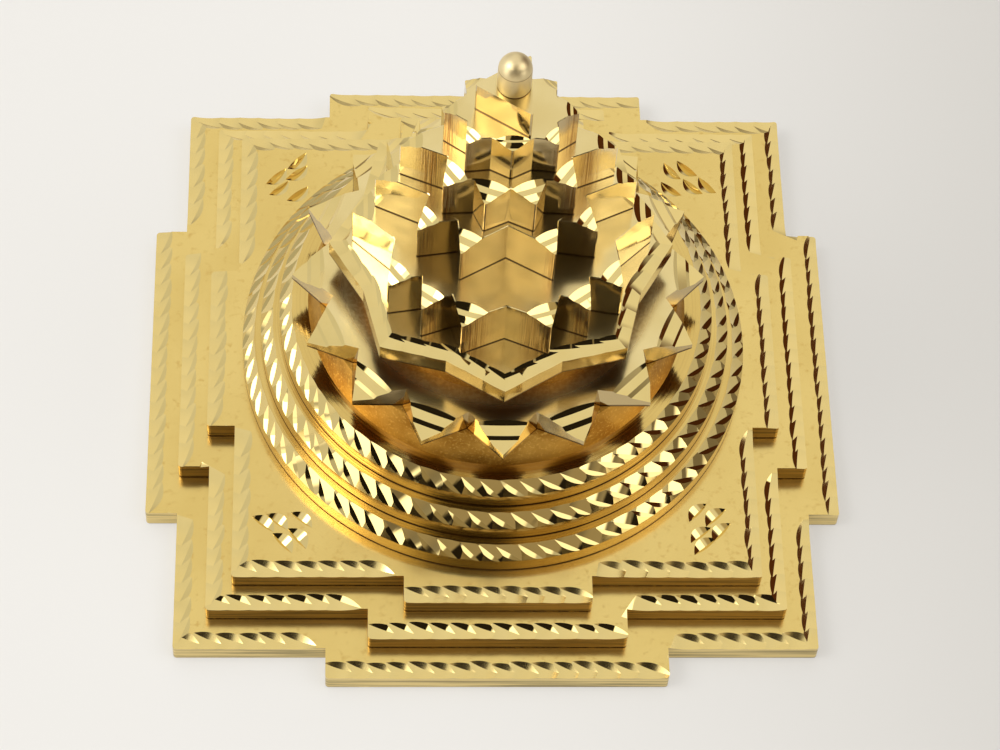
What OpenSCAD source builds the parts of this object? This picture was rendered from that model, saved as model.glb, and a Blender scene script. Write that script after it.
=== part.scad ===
// Meru shri yantra: brass plates, rings and star blocks stacked on one tie rod.
// Millimetres, +Z up, front at -Y, origin at the centre of the underside.

/* [Base plates] */
// Side of the lower plate's square
lower_side = 100; // [96:1:120]
// Width of each gate on the lower plate
lower_gate_w = 53; // [44:1:70]
// Reach of each gate beyond the lower plate's square
lower_gate_d = 5; // [3:0.5:9]
// Thickness of the lower plate
lower_t = 3.6; // [3:0.1:8]
// Side of the middle plate's square
middle_side = 90; // [84:1:98]
// Width of each gate on the middle plate
middle_gate_w = 40; // [32:1:50]
// Reach of each gate beyond the middle plate's square
middle_gate_d = 4.9; // [3:0.1:6]
// Thickness of the middle plate
middle_t = 3.5; // [2.6:0.1:8]
// Side of the upper plate's square
upper_side = 82; // [81:1:88]
// Width of each gate on the upper plate
upper_gate_w = 29; // [20:1:38]
// Reach of each gate beyond the upper plate's square
upper_gate_d = 4.4; // [2:0.1:6]
// Thickness of the upper plate
upper_t = 3.3; // [2.8:0.1:8]

/* [Rings] */
// Diameter of the widest ring
ring_1_d = 80; // [76:0.5:81]
// Height of the widest ring
ring_1_t = 4.8; // [3.6:0.1:8]
// Diameter of the second ring
ring_2_d = 74; // [71:0.5:77]
// Height of the second ring
ring_2_t = 4.8; // [3.6:0.1:8]
// Diameter of the third ring
ring_3_d = 68; // [64:0.5:71]
// Height of the third ring
ring_3_t = 4.8; // [3.6:0.1:8]
// Height of the slanted facet round each ring's rim
rim_h = 1.9; // [0.8:0.1:3]
// Width of that facet, seen from above
rim_w = 1.7; // [0.6:0.1:2.4]

/* [Petal plates] */
// Diameter of the sixteen-point collar at its foot
collar_16_foot_d = 59; // [56:0.5:64]
// Diameter of the sixteen-point collar at its top
collar_16_top_d = 56; // [50:0.5:59]
// Height of the sixteen-point collar
collar_16_t = 6; // [3:0.1:10]
// Diameter over the sixteen points
petal_16_d = 63.8; // [60:0.2:67]
// Diameter at the notches between the sixteen points
petal_16_notch_d = 52; // [47:0.5:56]
// Thickness of the sixteen-point plate
petal_16_t = 3.2; // [2.8:0.1:6]
// Length of the slanted cut on each of the sixteen points
petal_16_cut_l = 4.4; // [2.5:0.1:5.6]
// Drop of that cut at the point
petal_16_cut_drop = 2.2; // [1:0.1:2.6]
// Diameter of the eight-point collar
collar_8_d = 43.6; // [38:0.2:45]
// Height of the eight-point collar
collar_8_t = 4; // [2.6:0.1:8]
// Diameter over the eight points
petal_8_d = 52.4; // [49:0.2:56]
// Diameter at the notches between the eight points
petal_8_notch_d = 45.4; // [43.8:0.2:48]
// Thickness of the eight-point plate
petal_8_t = 4; // [3:0.1:7]
// Height of the bevel along the eight-point plate's edges
petal_8_bevel_h = 1.6; // [0.8:0.1:2.4]
// Width of that bevel at the points, seen from above
petal_8_bevel_w = 1.7; // [0.8:0.1:2.4]

/* [Star blocks] */
// Diameter over the front points of the fourteen-point block
star_14_d = 42.6; // [40:0.1:43]
// Width over the two end points of the fourteen-point block
star_14_end_w = 45.6; // [43:0.1:46]
// Diameter at the notches of the fourteen-point block
star_14_notch_d = 35; // [32:0.1:37]
// Height of the fourteen-point block
star_14_t = 9.2; // [5:0.1:14]
// Diameter over the front points of the outer ten-point block
star_10_outer_d = 31; // [28:0.1:33]
// Width over the two end points of the outer ten-point block
star_10_outer_end_w = 39; // [34:0.1:41]
// Diameter at the notches of the outer ten-point block
star_10_outer_notch_d = 22; // [20.5:0.1:24]
// Height of the outer ten-point block
star_10_outer_t = 8.6; // [5:0.1:14]
// Diameter over the front points of the inner ten-point block
star_10_inner_d = 23; // [20:0.1:24]
// Width over the two end points of the inner ten-point block
star_10_inner_end_w = 32; // [26:0.1:34]
// Diameter at the notches of the inner ten-point block
star_10_inner_notch_d = 17.2; // [16:0.1:18.5]
// Height of the inner ten-point block
star_10_inner_t = 8.6; // [5:0.1:14]
// Diameter over the side points of the eight-point block
star_8_d = 17.4; // [15.6:0.1:18.2]
// Width over the two end points of the eight-point block
star_8_end_w = 19.6; // [17:0.1:21]
// Diameter at the notches of the eight-point block
star_8_notch_d = 12; // [11.6:0.1:13]
// Height of the eight-point block
star_8_t = 8; // [5:0.1:12]
// Length of the slanted cut on each point of the star blocks
tip_cut_l = 3.4; // [2:0.1:4.4]
// Drop of that cut at the point
tip_cut_drop = 1.6; // [0.6:0.1:2.4]

/* [Trikona and bindu] */
// Distance from the axis to the trikona's left corner
trikona_left = 5.6; // [5:0.1:6.2]
// Distance from the axis to the trikona's right side
trikona_right = 2.6; // [2.5:0.05:2.9]
// Length of the trikona's right side
trikona_side = 10.6; // [9.6:0.1:11]
// Height of the trikona
trikona_t = 5.6; // [3:0.1:9]
// Diameter of the bindu
bindu_d = 4.9; // [4.6:0.1:5.2]
// Height of the bindu's round wall
bindu_wall_h = 4; // [3:0.1:7]
// Height of the bindu's dome
bindu_dome_h = 2.2; // [1.2:0.1:2.4]

/* [Joints] */
// Depth of every tenon
tenon_h = 1.8; // [1:0.1:2.2]
// Side of the square tenons up to the sixteen-point plate
wide_tenon_w = 20; // [12:1:30]
// Side of the square tenons from its collar to the fourteen-point block
mid_tenon_w = 14; // [10:0.5:20]
// Side of the square tenons under the ten-point blocks
slim_tenon_w = 9; // [7.5:0.25:11]
// Side of the square tenon under the eight-point block
small_tenon_w = 6.6; // [5:0.1:7.4]
// Step from the trikona's right side in to its foot
trikona_foot_step = 0.3; // [0.15:0.05:0.4]
// Gap between a tenon and the sides of its socket
tenon_gap = 0.1; // [0.05:0.05:0.3]
// Gap under a tenon
tenon_floor_gap = 0.2; // [0.05:0.05:0.5]
// Diameter of the tie rod
rod_d = 3; // [2:0.1:3.3]
// Gap round the rod in the plates and blocks
rod_gap = 0.35; // [0.1:0.05:0.5]
// Gap round the rod in the bindu and the nut
thread_gap = 0.3; // [0.1:0.05:0.5]
// Depth of the rod's hole in the bindu
bindu_hole = 4; // [2.5:0.1:4.8]
// Gap above the rod's end in the bindu
rod_end_gap = 0.4; // [0.1:0.1:1]
// Diameter of the washer
washer_d = 7; // [6.5:0.1:9]
// Thickness of the washer
washer_t = 0.5; // [0.3:0.05:1]
// Width of the nut across its flats
nut_w = 5.5; // [4.6:0.1:6.5]
// Thickness of the nut
nut_t = 1.6; // [1.2:0.1:2.4]
// Gap round the washer in the lower plate's recess
recess_gap = 0.5; // [0.2:0.1:2]
// Depth from the underside to the end of the rod
rod_inset = 0.2; // [0.1:0.05:0.6]
// Diameter of the base pins
pin_d = 3; // [2:0.1:5]
// Depth of a base pin in each plate
pin_depth = 1.4; // [0.8:0.1:2]
// Gap round a base pin
pin_gap = 0.3; // [0.1:0.05:0.5]
// Gap past the end of a base pin
pin_end_gap = 0.1; // [0.05:0.05:0.4]
// Distance of the base pins from the axis, along X and along Y
pin_at = 34; // [24:0.5:37]

/* [Hidden] */
$fn = 96;

// Heights of the joints, counted up the stack.
z_middle = lower_t;
z_upper = z_middle + middle_t;
z_ring_1 = z_upper + upper_t;
z_ring_2 = z_ring_1 + ring_1_t;
z_ring_3 = z_ring_2 + ring_2_t;
z_collar_16 = z_ring_3 + ring_3_t;
z_petal_16 = z_collar_16 + collar_16_t;
z_collar_8 = z_petal_16 + petal_16_t;
z_petal_8 = z_collar_8 + collar_8_t;
z_star_14 = z_petal_8 + petal_8_t;
z_star_10_outer = z_star_14 + star_14_t;
z_star_10_inner = z_star_10_outer + star_10_outer_t;
z_star_8 = z_star_10_inner + star_10_inner_t;
z_trikona = z_star_8 + star_8_t;
z_bindu = z_trikona + trikona_t;
rod_top = z_bindu + bindu_hole - rod_end_gap;
recess_d = washer_d + 2 * recess_gap;
recess_h = rod_inset + nut_t + washer_t;
brass = [0.82, 0.70, 0.42];
cast_brass = [0.70, 0.48, 0.20];
steel = [0.62, 0.62, 0.60];

// A point of a star outline is [radius, degrees from the front, 1 at a point or 0 at a notch].
function star_outline(n, tip_r, notch_r) = [for (i = [0 : 2 * n - 1])
    [i % 2 == 0 ? tip_r : notch_r, 180 * i / n, i % 2 == 0 ? 1 : 0]];
// A quarter from the front to the right end is mirrored to the back and then to the left.
function mirrored(q) = concat(q,
    [for (i = [len(q) - 2 : -1 : 0]) [q[i][0], 180 - q[i][1], q[i][2]]],
    [for (i = [1 : len(q) - 1]) [q[i][0], 180 + q[i][1], q[i][2]]],
    [for (i = [len(q) - 2 : -1 : 1]) [q[i][0], 360 - q[i][1], q[i][2]]]);
function plan(outline) = [for (p = outline) [p[0] * sin(p[1]), -p[0] * cos(p[1])]];

// Each block's quarter: notch and point radii as shares of its own diameters.
tip_14 = star_14_d / 2;
in_14 = star_14_notch_d / 2;
outline_14 = mirrored([[in_14, 0, 0], [tip_14, 18, 1], [in_14, 27, 0], [tip_14, 36, 1], [in_14, 45, 0],
    [tip_14 * 1.03, 53, 1], [in_14, 70, 0], [star_14_end_w / 2, 90, 1]]);
tip_10 = star_10_outer_d / 2;
in_10 = star_10_outer_notch_d / 2;
outline_10_outer = mirrored([[in_10 * 0.83, 0, 0], [tip_10 * 0.96, 28, 1], [in_10, 42, 0],
    [tip_10 * 1.04, 56, 1], [in_10 * 1.1, 72, 0], [star_10_outer_end_w / 2, 90, 1]]);
tip_10i = star_10_inner_d / 2;
in_10i = star_10_inner_notch_d / 2;
outline_10_inner = mirrored([[in_10i * 0.98, 0, 0], [tip_10i * 0.94, 20, 1], [in_10i, 37, 0],
    [tip_10i * 1.05, 54, 1], [in_10i * 1.1, 72, 0], [star_10_inner_end_w / 2, 90, 1]]);
tip_8 = star_8_d / 2;
in_8 = star_8_notch_d / 2;
outline_8 = mirrored([[tip_8 * 0.78, 0, 1], [in_8, 30, 0], [tip_8, 50, 1], [in_8 * 1.15, 70, 0],
    [star_8_end_w / 2, 90, 1]]);
outline_16 = star_outline(16, petal_16_d / 2, petal_16_notch_d / 2);
outline_petal_8 = star_outline(8, petal_8_d / 2, petal_8_notch_d / 2);

// Square plate with a gate in the middle of each side.
module gate_plan(side, gate_w, gate_d) {
    square(side, center = true);
    square([gate_w, side + 2 * gate_d], center = true);
    square([side + 2 * gate_d, gate_w], center = true);
}

// Clear hole for the tie rod, from one height to another.
module rod_hole(z0, z1) {
    translate([0, 0, z0 - 1]) cylinder(d = rod_d + 2 * rod_gap, h = z1 - z0 + 2);
}

// Square tenon that hangs below a joint, and the socket that takes it.
module tenon(z, w) {
    translate([-w / 2, -w / 2, z - tenon_h]) cube([w, w, tenon_h + 0.5]);
}
module socket(z, w) {
    s = w + 2 * tenon_gap;
    h = tenon_h + tenon_floor_gap;
    translate([-s / 2, -s / 2, z - h]) cube([s, s, h + 1]);
}

// Blind holes of the base pins on one side of a joint.
module pin_holes(z, turn) {
    for (a = [turn, turn + 180])
        rotate([0, 0, a]) translate([pin_at, pin_at, z - pin_depth - pin_end_gap])
            cylinder(d = pin_d + 2 * pin_gap, h = 2 * (pin_depth + pin_end_gap));
}
module pin_pair(z, turn) {
    for (a = [turn, turn + 180])
        rotate([0, 0, a]) translate([pin_at, pin_at, z - pin_depth]) cylinder(d = pin_d, h = 2 * pin_depth);
}

// Slanted cuts on the points of a star, sloping down from the top to each point.
module tip_cuts(outline, top, reach, drop, w) {
    slope = atan(drop / reach);
    for (p = outline)
        if (p[2] == 1)
            rotate([0, 0, p[1]]) translate([0, reach - p[0], top]) rotate([slope, 0, 0])
                translate([-w / 2, -2 * reach, 0]) cube([w, 2 * reach, 2 * drop]);
}

// Star block on its tenon, with its top points cut and a socket for the next piece.
module star_block(outline, z, t, tenon_w, socket_w, cut_w) {
    difference() {
        union() {
            translate([0, 0, z]) linear_extrude(t) polygon(plan(outline));
            tenon(z, tenon_w);
        }
        tip_cuts(outline, z + t, tip_cut_l, tip_cut_drop, cut_w);
        socket(z + t, socket_w);
        rod_hole(z - tenon_h, z + t);
    }
}

// Turned ring with a slanted facet round its upper edge.
module ring(z, d, t, below_w, above_w) {
    difference() {
        union() {
            translate([0, 0, z]) rotate_extrude()
                polygon([[0, 0], [d / 2, 0], [d / 2, t - rim_h], [d / 2 - rim_w, t], [0, t]]);
            tenon(z, below_w);
        }
        socket(z + t, above_w);
        rod_hole(z - tenon_h, z + t);
    }
}

// Cast plate with four gates; its recess takes the washer and the nut.
module lower_plate() {
    color(brass) difference() {
        linear_extrude(lower_t) gate_plan(lower_side, lower_gate_w, lower_gate_d);
        rod_hole(0, lower_t);
        translate([0, 0, -1]) cylinder(d = recess_d, h = recess_h + 1);
        pin_holes(z_middle, 0);
    }
}

// Second plate, pinned to the plates above and below it.
module middle_plate() {
    color(brass) difference() {
        translate([0, 0, z_middle]) linear_extrude(middle_t)
            gate_plan(middle_side, middle_gate_w, middle_gate_d);
        rod_hole(z_middle, z_upper);
        pin_holes(z_middle, 0);
        pin_holes(z_upper, 90);
    }
}

// Third plate, which carries the rings.
module upper_plate() {
    color(brass) difference() {
        translate([0, 0, z_upper]) linear_extrude(upper_t) gate_plan(upper_side, upper_gate_w, upper_gate_d);
        rod_hole(z_upper, z_ring_1);
        pin_holes(z_upper, 90);
        socket(z_ring_1, wide_tenon_w);
    }
}

// Three turned rings.
module ring_1() {
    color(brass) ring(z_ring_1, ring_1_d, ring_1_t, wide_tenon_w, wide_tenon_w);
}
module ring_2() {
    color(brass) ring(z_ring_2, ring_2_d, ring_2_t, wide_tenon_w, wide_tenon_w);
}
module ring_3() {
    color(brass) ring(z_ring_3, ring_3_d, ring_3_t, wide_tenon_w, wide_tenon_w);
}

// Raw-cast neck that lifts the sixteen-point plate off the rings.
module collar_16() {
    color(cast_brass) difference() {
        union() {
            translate([0, 0, z_collar_16])
                cylinder(d1 = collar_16_foot_d, d2 = collar_16_top_d, h = collar_16_t);
            tenon(z_collar_16, wide_tenon_w);
        }
        socket(z_petal_16, wide_tenon_w);
        rod_hole(z_collar_16 - tenon_h, z_petal_16);
    }
}

// Sixteen-point plate, each point cut down towards its tip.
module petal_16() {
    color(brass) difference() {
        union() {
            translate([0, 0, z_petal_16]) linear_extrude(petal_16_t) polygon(plan(outline_16));
            tenon(z_petal_16, wide_tenon_w);
        }
        tip_cuts(outline_16, z_collar_8, petal_16_cut_l, petal_16_cut_drop,
            petal_16_notch_d * sin(11.25));
        socket(z_collar_8, mid_tenon_w);
        rod_hole(z_petal_16 - tenon_h, z_collar_8);
    }
}

// Neck under the eight-point plate.
module collar_8() {
    color(cast_brass) difference() {
        union() {
            translate([0, 0, z_collar_8]) cylinder(d = collar_8_d, h = collar_8_t);
            tenon(z_collar_8, mid_tenon_w);
        }
        socket(z_petal_8, mid_tenon_w);
        rod_hole(z_collar_8 - tenon_h, z_petal_8);
    }
}

// Thick eight-point plate; its edges lean in over the bevel's height.
module petal_8() {
    wall_h = petal_8_t - petal_8_bevel_h;
    color(brass) difference() {
        union() {
            translate([0, 0, z_petal_8]) linear_extrude(wall_h) polygon(plan(outline_petal_8));
            translate([0, 0, z_petal_8 + wall_h])
                linear_extrude(petal_8_bevel_h, scale = 1 - 2 * petal_8_bevel_w / petal_8_d)
                    polygon(plan(outline_petal_8));
            tenon(z_petal_8, mid_tenon_w);
        }
        socket(z_star_14, mid_tenon_w);
        rod_hole(z_petal_8 - tenon_h, z_star_14);
    }
}

// Four star blocks, each with fewer points than the one below.
module star_14() {
    color(brass) star_block(outline_14, z_star_14, star_14_t, mid_tenon_w, slim_tenon_w, 2 * in_14 * sin(9));
}
module star_10_outer() {
    color(brass) star_block(outline_10_outer, z_star_10_outer, star_10_outer_t, slim_tenon_w, slim_tenon_w,
        2 * in_10 * sin(14));
}
module star_10_inner() {
    color(brass) star_block(outline_10_inner, z_star_10_inner, star_10_inner_t, slim_tenon_w, small_tenon_w,
        2 * in_10i * sin(17));
}

// Plan of the three-cornered block.
module trikona_plan() {
    polygon([[-trikona_left, 0], [trikona_right, -trikona_side / 2], [trikona_right, trikona_side / 2]]);
}

// Eight-point block; its socket takes the trikona's foot.
module star_8() {
    color(brass) difference() {
        union() {
            translate([0, 0, z_star_8]) linear_extrude(star_8_t) polygon(plan(outline_8));
            tenon(z_star_8, small_tenon_w);
        }
        tip_cuts(outline_8, z_trikona, tip_cut_l * 0.6, tip_cut_drop * 0.6, in_8 / 2);
        translate([0, 0, z_trikona - tenon_h - tenon_floor_gap]) linear_extrude(tenon_h + tenon_floor_gap + 1)
            scale(1 - (trikona_foot_step - tenon_gap) / trikona_right) trikona_plan();
        rod_hole(z_star_8 - tenon_h, z_trikona);
    }
}

// Three-cornered block, which stands on a smaller foot of the same plan.
module trikona() {
    color(brass) difference() {
        union() {
            translate([0, 0, z_trikona]) linear_extrude(trikona_t) trikona_plan();
            translate([0, 0, z_trikona - tenon_h]) linear_extrude(tenon_h + 0.5)
                scale(1 - trikona_foot_step / trikona_right) trikona_plan();
        }
        rod_hole(z_trikona - tenon_h, z_bindu);
    }
}

// Domed knob screwed on the top of the rod.
module bindu() {
    dome_r = (bindu_d * bindu_d / 4 + bindu_dome_h * bindu_dome_h) / (2 * bindu_dome_h);
    color(brass) difference() {
        intersection() {
            translate([0, 0, z_bindu]) cylinder(d = bindu_d, h = bindu_wall_h + bindu_dome_h);
            union() {
                translate([0, 0, z_bindu]) cylinder(d = bindu_d + 2, h = bindu_wall_h);
                translate([0, 0, z_bindu + bindu_wall_h + bindu_dome_h - dome_r]) sphere(r = dome_r);
            }
        }
        translate([0, 0, z_bindu - 1]) cylinder(d = rod_d + 2 * thread_gap, h = bindu_hole + 1);
    }
}

// Rod through the whole stack.
module tie_rod() {
    color(steel) translate([0, 0, rod_inset]) cylinder(d = rod_d, h = rod_top - rod_inset);
}

// Washer and thin nut in the lower plate's recess.
module washer() {
    color(steel) translate([0, 0, recess_h - washer_t]) difference() {
        cylinder(d = washer_d, h = washer_t);
        translate([0, 0, -1]) cylinder(d = rod_d + 2 * rod_gap, h = washer_t + 2);
    }
}
module nut() {
    color(steel) translate([0, 0, recess_h - washer_t - nut_t]) difference() {
        cylinder(d = nut_w / cos(30), h = nut_t, $fn = 6);
        translate([0, 0, -1]) cylinder(d = rod_d + 2 * thread_gap, h = nut_t + 2);
    }
}

// Four locating pins between the base plates.
module base_pins() {
    color(steel) {
        pin_pair(z_middle, 0);
        pin_pair(z_upper, 90);
    }
}

lower_plate();
middle_plate();
upper_plate();
ring_1();
ring_2();
ring_3();
collar_16();
petal_16();
collar_8();
petal_8();
star_14();
star_10_outer();
star_10_inner();
star_8();
trikona();
bindu();
tie_rod();
washer();
nut();
base_pins();
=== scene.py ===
# Meru shri yantra in polished brass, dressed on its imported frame. Metres, +Z up, front at -Y.
import math
import random

import bmesh
import bpy
from mathutils import Matrix, Vector


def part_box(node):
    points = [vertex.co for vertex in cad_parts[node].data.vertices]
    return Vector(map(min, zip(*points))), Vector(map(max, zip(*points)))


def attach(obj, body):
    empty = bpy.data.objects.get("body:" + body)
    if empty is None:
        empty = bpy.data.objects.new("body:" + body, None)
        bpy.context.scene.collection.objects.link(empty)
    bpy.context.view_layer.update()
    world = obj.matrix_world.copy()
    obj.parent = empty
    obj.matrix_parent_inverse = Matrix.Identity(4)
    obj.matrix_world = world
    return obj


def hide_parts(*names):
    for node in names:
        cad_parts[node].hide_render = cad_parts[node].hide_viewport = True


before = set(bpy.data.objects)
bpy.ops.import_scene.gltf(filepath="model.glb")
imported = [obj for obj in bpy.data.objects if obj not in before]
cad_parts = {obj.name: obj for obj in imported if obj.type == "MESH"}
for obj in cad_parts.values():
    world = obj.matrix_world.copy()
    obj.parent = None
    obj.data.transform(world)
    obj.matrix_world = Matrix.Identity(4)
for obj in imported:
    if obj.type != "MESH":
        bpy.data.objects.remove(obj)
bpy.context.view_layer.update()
mm = 0.001

# The three base plates: cast brass squares with a gate in the middle of each side, ground and polished.
# A spinning diamond wheel has cut a slanted rope of scoops along the long top edges, and five leaves in
# each corner of the upper plate. Pins hold each plate on the one below it.


def only(piece):
    if bpy.context.object and bpy.context.object.mode != "OBJECT":
        bpy.ops.object.mode_set(mode="OBJECT")
    bpy.ops.object.select_all(action="DESELECT")
    piece.select_set(True)
    bpy.context.view_layer.objects.active = piece


def pick_faces(piece, wanted):
    """Leaves the piece in edit mode with the faces selected whose centre and normal pass the test."""
    only(piece)
    bpy.ops.object.mode_set(mode="EDIT")
    bpy.ops.mesh.select_mode(type="FACE")
    bpy.ops.mesh.select_all(action="DESELECT")
    bpy.ops.object.mode_set(mode="OBJECT")
    for face in piece.data.polygons:
        face.select = wanted(face.center, face.normal)
    bpy.ops.object.mode_set(mode="EDIT")


def casting(node, name, brass, whole_tops=True):
    """A merged copy of a CAD node's mesh in its own brass, with its flat faces whole again. Level faces
    with a hole can be left in triangles."""
    piece = bpy.data.objects.new(name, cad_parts[node].data.copy())
    bpy.context.scene.collection.objects.link(piece)
    only(piece)
    bpy.ops.mesh.customdata_custom_splitnormals_clear()
    bpy.ops.object.mode_set(mode="EDIT")
    bpy.ops.mesh.select_all(action="SELECT")
    bpy.ops.mesh.remove_doubles(threshold=0.002 * mm)
    pick_faces(piece, lambda place, normal: whole_tops or abs(normal.z) < 0.999)
    bpy.ops.mesh.dissolve_limited(angle_limit=math.radians(0.2))
    bpy.ops.object.mode_set(mode="OBJECT")
    piece.data.materials.clear()
    piece.data.materials.append(brass)
    return piece


def bevel_edges(piece, wanted, width, segments=1):
    """Bevels the outer edges whose two ends pass the test."""
    only(piece)
    bpy.ops.object.mode_set(mode="EDIT")
    bpy.ops.mesh.select_mode(type="EDGE")
    bpy.ops.mesh.select_all(action="DESELECT")
    shape = bmesh.from_edit_mesh(piece.data)
    for edge in shape.edges:
        if edge.is_convex and wanted(edge.verts[0].co, edge.verts[1].co):
            edge.select_set(True)
    bmesh.update_edit_mesh(piece.data)
    bpy.ops.mesh.bevel(offset=width, segments=segments)
    bpy.ops.object.mode_set(mode="OBJECT")


def upright(a, b):
    return (a - b).xy.length < 0.001 * mm


def level(a, b, height):
    return max(abs(a.z - height), abs(b.z - height)) < 0.01 * mm


def diamond_wheel(radius, steep_w, steep_drop, band_w, segments, finishes):
    """The lowest slice of a wheel. Its ridge touches the origin, with its band to +X and its steep face
    to -X. The two finishes are what the band and the steep face leave behind on a piece."""
    slice_h = 2.2 * mm
    bpy.ops.object.select_all(action="DESELECT")
    bpy.ops.mesh.primitive_cylinder_add(
        vertices=segments, radius=radius, depth=band_w,
        location=(band_w / 2, 0, radius), rotation=(0, math.pi / 2, 0))
    wheel = bpy.context.object
    bpy.ops.object.transform_apply(location=True, rotation=True, scale=True)
    pick_faces(wheel, lambda place, normal: normal.x < -0.9)
    bpy.ops.mesh.extrude_region_move(TRANSFORM_OT_translate={"value": (-steep_w, 0, 0)})
    shrink = (radius - steep_drop) / radius
    bpy.ops.transform.resize(value=(1, shrink, shrink), center_override=(-steep_w, 0, radius))
    bpy.ops.mesh.select_all(action="SELECT")
    bpy.ops.mesh.bisect(plane_co=(0, 0, slice_h), plane_no=(0, 0, 1), use_fill=True, clear_outer=True)
    bpy.ops.object.mode_set(mode="OBJECT")
    for finish in finishes:
        wheel.data.materials.append(finish)
    for face in wheel.data.polygons:
        face.material_index = 1 if face.center.x < 0 else 0
    return wheel


def set_wheel(wheel, place, facing, tilt, slant=0.0, lean=0.0):
    """A copy of the wheel with its ridge at a place and its band towards a plan direction. It is then
    dipped, turned and dipped again, in degrees."""
    stand = Matrix.Translation(place) @ Matrix.Rotation(math.atan2(facing[1], facing[0]), 4, "Z")
    for angle, axis in ((tilt, "Y"), (slant, "Z"), (lean, "Y")):
        stand = stand @ Matrix.Rotation(math.radians(angle), 4, axis)
    copy = bpy.data.objects.new("cut", wheel.data.copy())
    copy.data.transform(stand)
    bpy.context.scene.collection.objects.link(copy)
    return copy


def take_away(piece, cuts):
    """Joins the cutters and takes them off the piece."""
    only(cuts[0])
    for cut in cuts:
        cut.select_set(True)
    bpy.ops.object.join()
    tool = bpy.context.object
    only(piece)
    taken = piece.modifiers.new("cut", "BOOLEAN")
    taken.object = tool
    taken.operation = "DIFFERENCE"
    taken.solver = "MANIFOLD"
    taken.material_mode = "TRANSFER"
    bpy.ops.object.modifier_apply(modifier=taken.name)
    bpy.data.objects.remove(tool)


class Shade:
    """An output socket in a shader tree. Sums and products of such values add Math nodes."""

    def __init__(self, tree, socket=None):
        self.tree = tree
        self.socket = socket

    def node(self, kind, settings, sockets, out=0):
        made = self.tree.nodes.new(kind)
        for name, value in settings.items():
            setattr(made, name, value)
        for name, value in sockets.items():
            if isinstance(value, Shade):
                self.tree.links.new(value.socket, made.inputs[name])
            else:
                made.inputs[name].default_value = value
        return Shade(self.tree, made.outputs[out] if made.outputs else None)

    def math(self, operation, *values):
        return self.node("ShaderNodeMath", {"operation": operation}, dict(enumerate(values)))

    def __add__(self, other):
        return self.math("ADD", self, other)

    def __sub__(self, other):
        return self.math("SUBTRACT", self, other)

    def __rsub__(self, other):
        return self.math("SUBTRACT", other, self)

    def __mul__(self, other):
        return self.math("MULTIPLY", self, other)

    __radd__ = __add__
    __rmul__ = __mul__

    def step(self, low, high):
        """0 below the first value, 1 above the second, smooth between them."""
        return self.node("ShaderNodeMapRange", {"interpolation_type": "SMOOTHSTEP"},
                         {"Value": self, "From Min": low, "From Max": high})

    def mix(self, first, second):
        """Two colours mixed by this value."""
        return self.node("ShaderNodeMix", {"data_type": "RGBA"}, {0: self, 6: first, 7: second}, 2)

    def noise(self, place, scale, detail=3.0):
        return self.node("ShaderNodeTexNoise", {}, {"Vector": place, "Scale": scale, "Detail": detail})

    def stretch(self, place, scale):
        return self.node("ShaderNodeMapping", {}, {"Vector": place, "Scale": scale})


def new_material(name):
    material = bpy.data.materials.new(name)
    material.use_nodes = True
    material.node_tree.nodes.clear()
    return material, Shade(material.node_tree)


def metal(shade, tone, rough, height, strength, depth):
    """The metal itself: its colour, its roughness and a relief of a given depth."""
    bump = shade.node("ShaderNodeBump", {}, {"Height": height, "Strength": strength, "Distance": depth})
    sockets = {"Base Color": tone, "Roughness": rough, "Metallic": 1.0, "Normal": bump}
    surface = shade.node("ShaderNodeBsdfPrincipled", {}, sockets)
    shade.node("ShaderNodeOutputMaterial", {}, {"Surface": surface})


def wall_mask(shade):
    """1 on upright faces, 0 on level ones."""
    normal = shade.node("ShaderNodeTexCoord", {}, {}, "Normal")
    rise = shade.node("ShaderNodeSeparateXYZ", {}, {"Vector": normal}, "Z")
    return 1 - shade.math("ABSOLUTE", rise).step(0.2, 0.45)


def polished_brass(name, foot, painted_wall_tone):
    """Buffed brass: cloudy tops; walls in a painted tone with dark streaks that are painted reflections over
    a real ripple; and a dark band at the foot that is brown polish left in the joint and painted shade there.
    """
    material, shade = new_material(name)
    place = shade.node("ShaderNodeTexCoord", {}, {}, "Object")
    wall = wall_mask(shade)
    cloud = shade.noise(place, 60.0)
    fine = shade.noise(place, 900.0)
    streaks = shade.noise(shade.stretch(place, (45, 45, 1900)), 1.0)
    tone = cloud.step(0.3, 0.7).mix((0.72, 0.53, 0.175, 1), (0.78, 0.59, 0.21, 1))
    tone = fine.step(0.55, 0.8).mix(tone, (0.66, 0.46, 0.14, 1))
    # The walls take a painted tone, and their dark streaks are painted reflections; the same streaks also
    # give the walls a real ripple in the relief.
    painted_streak_shade = tuple(0.5 * part for part in painted_wall_tone)
    side = streaks.step(0.42, 0.64).mix((*painted_wall_tone, 1), (*painted_streak_shade, 1))
    tone = wall.mix(tone, side)
    height = shade.node("ShaderNodeSeparateXYZ", {}, {"Vector": place}, "Z")
    # A dark band at the foot: brown polish left in the joint, and painted shade where the pieces meet.
    polish_and_shade = (1 - height.step(foot + 0.1 * mm, foot + 0.4 * mm)) * fine.step(0.25, 0.5)
    tone = (polish_and_shade * 0.85).mix(tone, (0.13, 0.06, 0.015, 1))
    lines = shade.noise(shade.stretch(place, (1400, 160, 400)), 1.0)
    rough = 0.18 * (0.75 + 0.5 * cloud) + 0.06 * fine + 0.14 * wall
    metal(shade, tone, rough, 0.7 * lines + cloud + 1.5 * wall * streaks, 0.15, 0.05 * mm)
    return material


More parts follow.
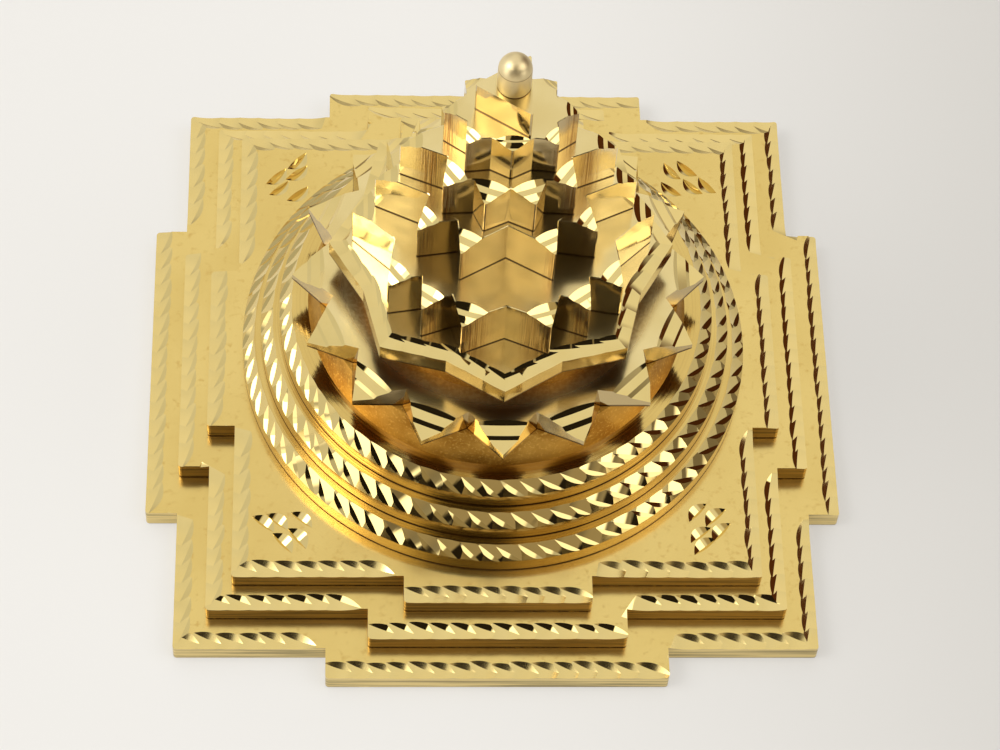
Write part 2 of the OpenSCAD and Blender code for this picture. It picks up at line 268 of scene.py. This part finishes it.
def bright_cut(name, shine, dull):
    """Diamond cuts: a little paler than the buffed faces, and less sharp where the buff went over them. A
    shine below one paints the cut darker, as painted shade for the dark that it reflects."""
    material, shade = new_material(name)
    place = shade.node("ShaderNodeTexCoord", {}, {}, "Object")
    cloud = shade.noise(place, 300.0)
    low = (0.76 * shine, 0.58 * shine, 0.215 * shine, 1)
    high = (0.82 * shine, 0.65 * shine, 0.275 * shine, 1)
    metal(shade, cloud.mix(low, high), dull + 0.03 * cloud, cloud, 0.06, 0.04 * mm)
    return material


def finish_piece(piece, node, smooth=9.0):
    """Gives a piece its shading, hangs it under the root body and hides the node that it stands for."""
    only(piece)
    bpy.ops.object.shade_smooth_by_angle(angle=math.radians(smooth))
    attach(piece, "root")
    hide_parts(node)


cut_brass = bright_cut("bright_cut_brass", 1.0, 0.02)
rope_brass = bright_cut("buffed_cut_brass", 0.97, 0.15)
hand = random.Random(16)
cut_finish = (cut_brass, cut_brass)
rope_wheel = diamond_wheel(9 * mm, 1.8 * mm, 0.95 * mm, 4.2 * mm, 110, (rope_brass, rope_brass))
leaf_wheel = diamond_wheel(4.6 * mm, 0.5 * mm, 1.2 * mm, 2.2 * mm, 64, cut_finish)


def gate_outline(side, gate_w, gate_d):
    """Corners of a gated square, counterclockwise from the front left, as points in the plan."""
    half = side / 2
    gate = gate_w / 2
    reach = half + gate_d
    quarter = [(-half, -half), (-gate, -half), (-gate, -reach), (gate, -reach), (gate, -half)]
    corners = []
    for turn in range(4):
        spin = Matrix.Rotation(turn * math.pi / 2, 2)
        corners += [spin @ Vector(corner) for corner in quarter]
    return corners


def rope_cuts(corners, top, pitch, dip):
    """Wheels along the long edges of an outline, short of the gate roots, in sets that stay clear.
    The wheel dips by the given angle. The right-hand edges were cut at one dip, closer and straighter."""
    corner_gap = 1.0 * mm
    root_gap = 2.4 * mm
    sets = [[] for number in range(20)]
    for number, start in enumerate(corners):
        span = corners[(number + 1) % len(corners)] - start
        if span.length < 2 * pitch:
            continue
        along = span.normalized()
        facing = Vector((along.y, -along.x))
        first = root_gap if number % 5 == 4 else corner_gap
        last = root_gap if number % 5 == 0 else corner_gap
        run = span.length - first - last
        right = facing.x > 0.5
        count = round(run / (0.87 * pitch if right else pitch))
        for step in range(count):
            share = (step + 0.5 + hand.uniform(-0.06, 0.06)) / count
            spot = start + along * (first + share * run) - facing * hand.uniform(1.4, 1.55) * mm
            depth = hand.uniform(0.46, 0.54) * mm
            tilt = (4 if right else dip) + hand.uniform(-2, 2)
            slant = hand.uniform(-24, -17) + (10 if right else 0)
            cut = set_wheel(rope_wheel, (*spot, top - depth), facing, tilt, slant)
            sets[10 * (abs(along.x) > 0.5) + 5 * (number % 5 == 2) + step % 5].append(cut)
    return sets


# Each leaf: its distance from the axis along the corner's diagonal, and its shift across the diagonal.
LEAVES = [(43.2, 1.0), (46.0, 2.6), (46.2, -1.6), (48.3, 1.4), (48.1, -2.9)]


def leaf_cuts(top):
    """Five leaves in each corner of a plate: one by the ring, and two rows of two behind it."""
    sets = [[] for leaf in LEAVES]
    for turn in range(4):
        angle = math.pi / 4 + turn * math.pi / 2
        out = Vector((math.cos(angle), math.sin(angle)))
        across = Vector((-out.y, out.x))
        for number, (reach, aside) in enumerate(LEAVES):
            spot = out * (reach + hand.uniform(-0.2, 0.2)) * mm
            spot += across * (aside + hand.uniform(-0.3, 0.3)) * mm
            depth = hand.uniform(0.48, 0.58) * mm
            slant = hand.uniform(-6, 6)
            cut = set_wheel(leaf_wheel, (*spot, top - depth), -out, hand.uniform(-23, -20), slant)
            sets[number].append(cut)
    return sets


# Each plate: side, gate width, gate depth, dip of the wheel and the painted tone of its walls, paler on the
# lower plate as a painted reflection of the floor and browner above as painted shade.
PLATES = {
    "lower_plate": (100 * mm, 53 * mm, 5 * mm, 0, (0.80, 0.63, 0.27)),
    "middle_plate": (90 * mm, 40 * mm, 4.9 * mm, 4, (0.66, 0.43, 0.13)),
    "upper_plate": (82 * mm, 29 * mm, 4.4 * mm, 0, (0.66, 0.43, 0.13)),
}
for node, (side, gate_w, gate_d, dip, painted_wall_tone) in PLATES.items():
    low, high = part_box(node)
    plate = casting(node, node + "_rope_cut", polished_brass(node + "_brass", low.z, painted_wall_tone))
    reach = side / 2 - 1 * mm
    bevel_edges(plate, lambda a, b: upright(a, b) and max(abs(a.x), abs(a.y)) > reach, 0.5 * mm, 3)
    bevel_edges(plate, lambda a, b: level(a, b, low.z) and max(abs(a.x), abs(a.y)) > reach, 0.2 * mm)
    for cuts in rope_cuts(gate_outline(side, gate_w, gate_d), high.z, 3.1 * mm, dip):
        take_away(plate, cuts)
    if node == "middle_plate":
        plate.data.materials[1] = cut_brass
    if node == "upper_plate":
        for cuts in leaf_cuts(high.z):
            take_away(plate, cuts)
    finish_piece(plate, node)

# Three turned brass rings, one on another, each with a tenon in the piece below. A larger wheel has cut the
# slanted rim of each ring into a sawtooth of bright facets and steep ones, which are painted darker as
# painted shade for the dark that they reflect.


def turned_brass(name, foot):
    """Lathe-turned brass: fine rings on the walls and the tops, and a dark band at the foot that is brown
    polish in the joint and painted shade there.
    """
    material, shade = new_material(name)
    place = shade.node("ShaderNodeTexCoord", {}, {}, "Object")
    wall = wall_mask(shade)
    height = shade.node("ShaderNodeSeparateXYZ", {}, {"Vector": place}, "Z")
    flat = shade.stretch(place, (1, 1, 0))
    spread = shade.node("ShaderNodeVectorMath", {"operation": "LENGTH"}, {0: flat}, "Value")
    cloud = shade.noise(place, 90.0)
    turning = shade.node("ShaderNodeTexNoise", {"noise_dimensions": "1D"},
                         {"W": (spread + height) * 2400.0, "Scale": 1.0, "Detail": 3.0})
    tone = cloud.step(0.3, 0.7).mix((0.66, 0.47, 0.145, 1), (0.72, 0.53, 0.18, 1))
    tone = (wall * 0.7).mix(tone, (0.78, 0.54, 0.19, 1))
    tone = (turning.step(0.5, 0.75) * (0.25 + 0.3 * wall)).mix(tone, (0.42, 0.25, 0.07, 1))
    # A dark band at the foot: brown polish in the joint, and painted shade where the ring meets the piece
    # below.
    polish_and_shade = (1 - height.step(foot + 0.15 * mm, foot + 0.5 * mm)) * cloud.step(0.15, 0.4)
    tone = (polish_and_shade * 0.85).mix(tone, (0.12, 0.05, 0.012, 1))
    metal(shade, tone, 0.09 + 0.08 * cloud, turning + cloud, 0.25, 0.05 * mm)
    return material


tenon_h = 1.8 * mm
# The steep facets of the rims get this darker cut: painted shade for the dark that they reflect.
painted_dark_cut = bright_cut("shaded_cut_brass", 0.7, 0.02)
rim_wheel = diamond_wheel(14 * mm, 1.8 * mm, 1.03 * mm, 3.0 * mm, 150, (cut_brass, painted_dark_cut))
RIM_SLOPE = 48.2
RINGS = {"ring_1": 78, "ring_2": 72, "ring_3": 66}
for node, count in RINGS.items():
    low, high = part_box(node)
    foot = low.z + tenon_h
    ring = casting(node, node + "_faceted", turned_brass(node + "_brass", foot))
    bevel_edges(ring, lambda a, b: level(a, b, foot) and a.xy.length > high.x - 1 * mm, 0.2 * mm)
    sets = [[] for number in range(6)]
    for number in range(count):
        angle = 2 * math.pi * (number + hand.uniform(-0.12, 0.12)) / count
        inward = (-math.cos(angle), -math.sin(angle))
        valley = high.x - hand.uniform(1.12, 1.19) * mm
        drop = hand.uniform(1.05, 1.12) * mm
        place = (-inward[0] * valley, -inward[1] * valley, high.z - drop)
        slant = hand.uniform(-40, -30)
        lean = hand.uniform(-7, -4)
        sets[number % 6].append(set_wheel(rim_wheel, place, inward, -RIM_SLOPE, slant, lean))
    for cuts in sets:
        take_away(ring, cuts)
    finish_piece(ring, node)

# Two necks of raw cast brass that lift the petal plates. They were left as they came out of the sand, grainy
# and amber, because only slits of them show. Their amber is painted dark as painted shade under the petal
# plates, and their pale specks are painted glints.


def shaded_cast_brass(name):
    material, shade = new_material(name)
    place = shade.node("ShaderNodeTexCoord", {}, {}, "Object")
    sand = shade.noise(place, 2400.0, 4.0)
    blotch = shade.noise(place, 160.0)
    # The necks are painted a dark amber, as painted shade under the petal plates; the pale specks are painted
    # glints on the grain.
    tone = blotch.step(0.35, 0.65).mix((0.34, 0.16, 0.02, 1), (0.55, 0.31, 0.06, 1))
    tone = (sand.step(0.5, 0.75) * 0.6).mix(tone, (0.78, 0.50, 0.12, 1))
    metal(shade, tone, 0.34 + 0.2 * blotch, sand, 0.6, 0.1 * mm)
    return material


for node in ("collar_16", "collar_8"):
    collar = casting(node, node + "_neck", shaded_cast_brass(node + "_cast"))
    finish_piece(collar, node, 40.0)

# The petal plates: a thin plate of sixteen points and a thick plate of eight, with filed, leaning walls.
# The wheel has cut two steps across each of the sixteen points, and three scoops along each side of the
# thick plate.


def pick_points(piece, wanted):
    """Leaves the piece in edit mode with the points selected that pass the test."""
    only(piece)
    bpy.ops.object.mode_set(mode="EDIT")
    bpy.ops.mesh.select_mode(type="VERT")
    bpy.ops.mesh.select_all(action="DESELECT")
    bpy.ops.object.mode_set(mode="OBJECT")
    for point in piece.data.vertices:
        point.select = wanted(point.co)
    bpy.ops.object.mode_set(mode="EDIT")


def filed_brass(name, foot, inner=40 * mm, outer=41 * mm, sand=0.0):
    """Satin tops; walls painted darker than the tops as painted shade, paler and smooth further out to the
    sides as painted light; upright file marks at the middle front points, from an inner to an outer radius,
    where the walls are painted darker still as painted shade; a rough cast zone inside the sand's radius, its
    darker brown painted shade under the plate above."""
    material, shade = new_material(name)
    place = shade.node("ShaderNodeTexCoord", {}, {}, "Object")
    wall = wall_mask(shade)
    height = shade.node("ShaderNodeSeparateXYZ", {}, {"Vector": place}, "Z")
    flat = shade.stretch(place, (1, 1, 0))
    spread = shade.node("ShaderNodeVectorMath", {"operation": "LENGTH"}, {0: flat}, "Value")
    normal = shade.node("ShaderNodeTexCoord", {}, {}, "Normal")
    front = 0 - shade.node("ShaderNodeSeparateXYZ", {}, {"Vector": normal}, "Y")
    aside = shade.math("ABSOLUTE", shade.node("ShaderNodeSeparateXYZ", {}, {"Vector": place}, "X"))
    outlying = aside.step(11 * mm, 14.5 * mm)
    tipward = wall * spread.step(inner, outer) * front.step(0.35, 0.75) * (1 - outlying)
    file_marks = shade.noise(shade.stretch(place, (5200, 5200, 120)), 1.0, 2.0)
    cloud = shade.noise(place, 90.0)
    swell = shade.noise(place, 170.0, 1.0)
    grain = shade.noise(place, 1900.0)
    tone = cloud.step(0.3, 0.7).mix((0.72, 0.57, 0.25, 1), (0.80, 0.66, 0.33, 1))
    # Painted light and shade on the walls: darker than the tops, and paler out to the sides, where the light
    # falls.
    pale = outlying * (1 - spread.step(23 * mm, 25 * mm))
    tone = wall.mix(tone, pale.mix((0.57, 0.44, 0.22, 1), (0.88, 0.76, 0.50, 1)))
    # The walls of the front points are painted darker still: painted shade over their real file marks.
    tone = (tipward * (0.45 + 0.5 * file_marks.step(0.4, 0.62))).mix(tone, (0.24, 0.12, 0.03, 1))
    # The cast zone is rough, grainy brass; its darker brown is painted shade under the plate above.
    cast = (1 - wall) * (1 - spread.step(sand - 1.5 * mm, sand + 1.0 * mm))
    tone = (cast * (0.6 + 0.4 * grain.step(0.35, 0.6))).mix(tone, (0.52, 0.35, 0.13, 1))
    # A near-black band at the foot: polish in the joint, and painted shade where the block meets the piece
    # below.
    polish_and_shade = (1 - height.step(foot + 0.12 * mm, foot + 0.4 * mm)) * cloud.step(0.1, 0.35)
    tone = (polish_and_shade * 0.9).mix(tone, (0.08, 0.035, 0.01, 1))
    rough = 0.09 + 0.05 * cloud + 0.07 * (1 - wall) + 0.1 * tipward + 0.2 * cast
    relief = tipward * file_marks + 2.0 * swell + 0.8 * cast * grain
    metal(shade, tone, rough, relief, 0.5, 0.1 * mm)
    return material


def square_tips(piece, top, reach):
    """Brings the points of a block back up to its top, as they were before they were cut."""
    pick_points(piece, lambda at: at.xy.length > reach and top - 2.8 * mm < at.z < top - 0.01 * mm)
    bpy.ops.transform.resize(value=(1, 1, 0), center_override=(0, 0, top))
    bpy.ops.object.mode_set(mode="OBJECT")


def step_cuts(wheel, tips, top, steps):
    """Wheels across each point of a star. A step is its distance from the point and its depth."""
    lots = 5 if len(tips) % 4 else 4
    sets = [[] for number in range(lots * len(steps))]
    for number, (angle, tip) in enumerate(sorted(tips)):
        facing = Vector((math.sin(math.radians(angle)), -math.cos(math.radians(angle))))
        for order, (back, depth) in enumerate(steps):
            spot = facing * (tip - back * hand.uniform(0.97, 1.03))
            tilt = hand.uniform(10, 15)
            cut = set_wheel(wheel, (*spot, top - depth * hand.uniform(0.97, 1.03)), facing, tilt)
            sets[lots * order + number % lots].append(cut)
    return sets


tooth_wheel = diamond_wheel(24 * mm, 2.6 * mm, 1.62 * mm, 7 * mm, 240, cut_finish)
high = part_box("petal_16")[1]
foot = high.z - 3.2 * mm
# The cast zone reaches to the foot of the thick petal plate, where its darker brown is painted shade.
brass = filed_brass("petal_16_brass", foot, sand=24.5 * mm)
petal_16 = casting("petal_16", "petal_16_plate", brass)
square_tips(petal_16, high.z, 27 * mm)
pick_points(petal_16, lambda at: abs(at.z - foot) < 0.01 * mm and 25 * mm < at.xy.length < 27 * mm)
bpy.ops.transform.resize(value=(1.045, 1.045, 1), center_override=(0, 0, foot))
bpy.ops.object.mode_set(mode="OBJECT")
teeth = [(22.5 * number, 31.9 * mm) for number in range(16)]
tooth_steps = [(4.3 * mm, 0.65 * mm), (2.3 * mm, 1.5 * mm)]
for cuts in step_cuts(tooth_wheel, teeth, high.z, tooth_steps):
    take_away(petal_16, cuts)
finish_piece(petal_16, "petal_16")

low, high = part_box("petal_8")
petal_8 = casting("petal_8", "petal_8_plate", filed_brass("petal_8_brass", low.z + tenon_h))
pick_points(petal_8, lambda at: at.z > high.z - 0.01 * mm and at.xy.length > 16 * mm)
drawn_d = 49 * mm
point_d = 52.4 * mm
notch_d = 45.4 * mm
flare = point_d / drawn_d
bpy.ops.transform.resize(value=(flare, flare, 1), center_override=(0, 0, high.z))
bpy.ops.mesh.select_all(action="SELECT")
bpy.ops.mesh.dissolve_limited(angle_limit=math.radians(0.2))
bpy.ops.object.mode_set(mode="OBJECT")
petal_wheel = diamond_wheel(12 * mm, 2.4 * mm, 1.5 * mm, 4 * mm, 140, cut_finish)
corners = []
for number in range(16):
    angle = math.radians(22.5 * number)
    corner = (point_d if number % 2 == 0 else notch_d) / 2
    corners.append(Vector((corner * math.sin(angle), -corner * math.cos(angle))))
sets = [[] for number in range(6)]
for number, start in enumerate(corners):
    end = corners[(number + 1) % 16]
    along = (end - start).normalized()
    facing = Vector((along.y, -along.x))
    for step in range(3):
        spot = start.lerp(end, (step + 0.5) / 3) - facing * 1.7 * mm
        depth = hand.uniform(0.5, 0.58) * mm
        slant = hand.uniform(-8, -4)
        tilt = hand.uniform(9, 15)
        cut = set_wheel(petal_wheel, (*spot, high.z - depth), facing, tilt, slant)
        sets[3 * (number % 2) + step].append(cut)
for cuts in sets:
    take_away(petal_8, cuts)
finish_piece(petal_8, "petal_8")

# Four star blocks that get smaller upwards, with fourteen, ten, ten and eight points. Their tops are satin,
# their walls are filed by hand and painted with shade, darkest at the front points and paler to the sides as
# painted light, and each point carries two wheel-cut steps.


def all_round(quarter):
    """Points of one quarter, front to right end, mirrored to the back and to the left."""
    half = quarter + [(180 - angle, tip) for angle, tip in quarter if angle < 90]
    return half + [(-angle, tip) for angle, tip in half if 0 < angle < 180]


# Each block: its points, the radii where file marks and the painted shade of the front walls start and are
# full, and a radius inside its outline.
STARS = {
    "star_14": ([(18, 21.3), (36, 21.3), (53, 21.94), (90, 22.8)], 17.5, 20.5, 12),
    "star_10_outer": ([(28, 14.88), (56, 16.12), (90, 19.5)], 12.5, 15.5, 7),
    "star_10_inner": ([(20, 10.81), (54, 12.08), (90, 16)], 9.4, 11.6, 7),
    "star_8": ([(0, 6.79), (50, 8.7), (90, 9.8)], 7.2, 9.2, 5.85),
}
star_wheel = diamond_wheel(11 * mm, 2.8 * mm, 1.15 * mm, 6 * mm, 120, cut_finish)
star_steps = [(2.37 * mm, 0.67 * mm), (0.63 * mm, 1.49 * mm)]
small_wheel = diamond_wheel(7 * mm, 1.9 * mm, 0.8 * mm, 4 * mm, 90, cut_finish)
small_steps = [(1.45 * mm, 0.42 * mm), (0.45 * mm, 0.95 * mm)]
for node, (quarter, inner, outer, core) in STARS.items():
    low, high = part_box(node)
    foot = low.z + tenon_h
    brass = filed_brass(node + "_brass", foot, inner * mm, outer * mm)
    block = casting(node, node + "_block", brass, whole_tops=False)
    core_r = core * mm
    square_tips(block, high.z, core_r)
    bevel_edges(block, lambda a, b: upright(a, b) and a.xy.length > core_r, 0.25 * mm, 2)
    for height, width in ((foot, 0.12 * mm), (high.z, 0.1 * mm)):
        bevel_edges(block, lambda a, b: level(a, b, height) and min(a.xy.length, b.xy.length) > core_r, width)
    tips = [(angle, tip * mm) for angle, tip in all_round(quarter)]
    wheel, steps = (small_wheel, small_steps) if node == "star_8" else (star_wheel, star_steps)
    for cuts in step_cuts(wheel, tips, high.z, steps):
        take_away(block, cuts)
    finish_piece(block, node)

# The trikona, a low three-cornered brass block with its corners rubbed down. The tenon below it sits in
# the highest star block.
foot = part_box("trikona")[0].z + tenon_h
trikona = casting("trikona", "trikona_block", filed_brass("trikona_brass", foot))
bevel_edges(trikona, lambda a, b: upright(a, b) and a.z + b.z > 2 * foot, 0.45 * mm, 2)
finish_piece(trikona, "trikona", 12.0)

# The bindu, a domed knob of satin brass screwed on the end of the rod. A turned line parts the dome from the
# stem, with painted shade along it.


def satin_brass(name, foot, line):
    material, shade = new_material(name)
    place = shade.node("ShaderNodeTexCoord", {}, {}, "Object")
    height = shade.node("ShaderNodeSeparateXYZ", {}, {"Vector": place}, "Z")
    cloud = shade.noise(place, 260.0)
    grain = shade.noise(shade.stretch(place, (900, 900, 3000)), 1.0)
    tone = cloud.step(0.3, 0.7).mix((0.74, 0.59, 0.31, 1), (0.84, 0.70, 0.40, 1))
    gap = shade.math("ABSOLUTE", height - line)
    # Darker at the foot, polish in the joint and painted shade there, and along the turned line, painted
    # shade.
    polish_and_shade = (1 - height.step(foot, foot + 0.3 * mm)) + 0.6 * (1 - gap.step(0.04 * mm, 0.14 * mm))
    tone = (polish_and_shade * cloud.step(0.1, 0.4)).mix(tone, (0.20, 0.10, 0.03, 1))
    metal(shade, tone, 0.36 + 0.12 * cloud, grain + 2.0 * cloud, 0.3, 0.05 * mm)
    return material


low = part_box("bindu")[0]
shoulder = low.z + 4.0 * mm
stem_r = 2.3 * mm
bindu = casting("bindu", "bindu_knob", satin_brass("bindu_brass", low.z, shoulder))
bevel_edges(bindu, lambda a, b: level(a, b, shoulder) and a.xy.length > stem_r, 0.22 * mm, 4)
bevel_edges(bindu, lambda a, b: level(a, b, low.z) and a.xy.length > stem_r, 0.2 * mm, 2)
finish_piece(bindu, "bindu", 30.0)

# The fixings inside: a rod through the stack, its washer and nut in the underside, and the pins between
# the base plates. They are zinc-plated steel with the marks of the bar that they were cut from.
zinc, shade = new_material("zinc_plated_steel")
place = shade.node("ShaderNodeTexCoord", {}, {}, "Object")
drawn = shade.noise(shade.stretch(place, (2600, 2600, 60)), 1.0)
spangle = shade.noise(place, 420.0)
tone = spangle.step(0.3, 0.7).mix((0.50, 0.51, 0.52, 1), (0.66, 0.66, 0.64, 1))
tone = drawn.step(0.55, 0.75).mix(tone, (0.36, 0.36, 0.36, 1))
metal(shade, tone, 0.3 + 0.15 * spangle, drawn, 0.3, 0.04 * mm)
for node in ("tie_rod", "washer", "nut", "base_pins"):
    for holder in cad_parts[node].material_slots:
        holder.material = zinc

for wheel in (rope_wheel, leaf_wheel, rim_wheel, tooth_wheel, petal_wheel, star_wheel, small_wheel):
    bpy.data.objects.remove(wheel)

# The studio: a pale floor and soft light, and the camera at the photograph's viewing angle.
bpy.ops.object.select_all(action="DESELECT")
bpy.ops.mesh.primitive_plane_add(size=6.0, location=(0, 0, -0.05 * mm))
floor = bpy.context.object
floor.name = "floor"
floor_with_painted_shade, shade = new_material("floor_with_painted_shade")
path = shade.node("ShaderNodeLightPath", {}, {}, "Is Camera Ray")
glossy = Shade(shade.tree, path.socket.node.outputs["Is Glossy Ray"])
place = shade.node("ShaderNodeTexCoord", {}, {}, "Object")
across = shade.node("ShaderNodeSeparateXYZ", {}, {"Vector": place}, "X")
# The floor is painted darker towards the right: painted shade for light that falls from the left.
painted_falloff = across.step(-0.02, 0.14).mix((0.85, 0.835, 0.80, 1), (0.635, 0.615, 0.575, 1))
diffuse = shade.node("ShaderNodeBsdfDiffuse", {}, {"Color": painted_falloff})
glow = shade.node("ShaderNodeEmission", {}, {"Color": painted_falloff, "Strength": 1.0})
seen = shade.math("MAXIMUM", path, glossy) * 0.6
mixed = shade.node("ShaderNodeMixShader", {}, {0: seen, 1: diffuse, 2: glow})
shade.node("ShaderNodeOutputMaterial", {}, {"Surface": mixed})
floor.data.materials.append(floor_with_painted_shade)

world = bpy.data.worlds.new("studio")
bpy.context.scene.world = world
world.use_nodes = True
world.node_tree.nodes.clear()
shade = Shade(world.node_tree)
gaze = shade.node("ShaderNodeTexCoord", {}, {}, "Generated")
height = shade.node("ShaderNodeSeparateXYZ", {}, {"Vector": gaze}, "Z")
sky = height.step(0.1, 0.8).mix((0.22, 0.19, 0.16, 1), (0.92, 0.91, 0.89, 1))
# Each patch of the studio: its direction, the angles where it is full and where it ends, and its colour.
LIT = (2.4, 2.35, 2.3, 1)
BLACK = (0.02, 0.016, 0.012, 1)
PATCHES = [
    ((0.0, 0.78, 0.62), 15, 45, (1.0, 0.975, 0.92, 1)),
    ((-0.9, 0.35, 0.25), 25, 60, (0.8, 0.8, 0.8, 1)),
    ((0.0, -0.93, 0.3), 25, 38, (0.40, 0.34, 0.26, 1)),
    ((0.82, 0.5, 0.26), 24, 35, (0.09, 0.03, 0.01, 1)),
    ((0.1, -0.5, 0.86), 15, 23, (0.5, 0.42, 0.3, 1)),
    ((-0.1, -0.58, 0.8), 14, 16, BLACK),
    ((0.74, -0.1, 0.65), 16, 19, LIT),
    ((0.5, -0.5, 0.7), 10, 12, LIT),
    ((-0.69, -0.12, 0.71), 16, 19, LIT),
    ((-0.49, -0.52, 0.7), 9, 11, LIT),
    ((-0.86, -0.45, 0.15), 15, 21, LIT),
    ((0.78, -0.6, 0.1), 10, 15, LIT),
    ((0.03, -0.85, 0.526), 12, 14, BLACK),
    ((0.48, -0.73, 0.48), 12, 14, BLACK),
    ((0.70, -0.56, 0.44), 9, 11, BLACK),
    ((-0.43, -0.76, 0.49), 12, 14, BLACK),
    ((-0.68, -0.58, 0.45), 9, 11, BLACK),
]
for towards, full, end, colour in PATCHES:
    facing = Vector(towards).normalized()
    near = shade.node("ShaderNodeVectorMath", {"operation": "DOT_PRODUCT"},
                      {0: gaze, 1: facing}, "Value")
    sky = near.step(math.cos(math.radians(end)), math.cos(math.radians(full))).mix(sky, colour)
back = shade.node("ShaderNodeBackground", {}, {"Color": sky, "Strength": 1.0})
shade.node("ShaderNodeOutputWorld", {}, {"Surface": back})

lamp = bpy.data.objects.new("key_box", bpy.data.lights.new("key_box", "AREA"))
lamp.data.shape = "RECTANGLE"
lamp.data.size = 0.5
lamp.data.size_y = 0.5
lamp.data.energy = 3.0
lamp.location = (-0.8, -0.1, 0.9)
lamp.rotation_euler = (-lamp.location).to_track_quat("-Z", "Y").to_euler()
bpy.context.scene.collection.objects.link(lamp)

camera = bpy.data.objects.new("camera", bpy.data.cameras.new("camera"))
bpy.context.scene.collection.objects.link(camera)
camera.data.lens = 113.77
camera.data.sensor_width = 36.0
camera.location = (-0.02355, -0.2635, 0.4436)
aim = Vector((0.00108, -0.00473, 0.0100)) - camera.location
camera.rotation_euler = aim.to_track_quat("-Z", "Y").to_euler()
camera.rotation_euler.rotate_axis("Z", math.radians(4.93))
bpy.context.scene.camera = camera
bpy.context.scene.view_settings.view_transform = "Standard"
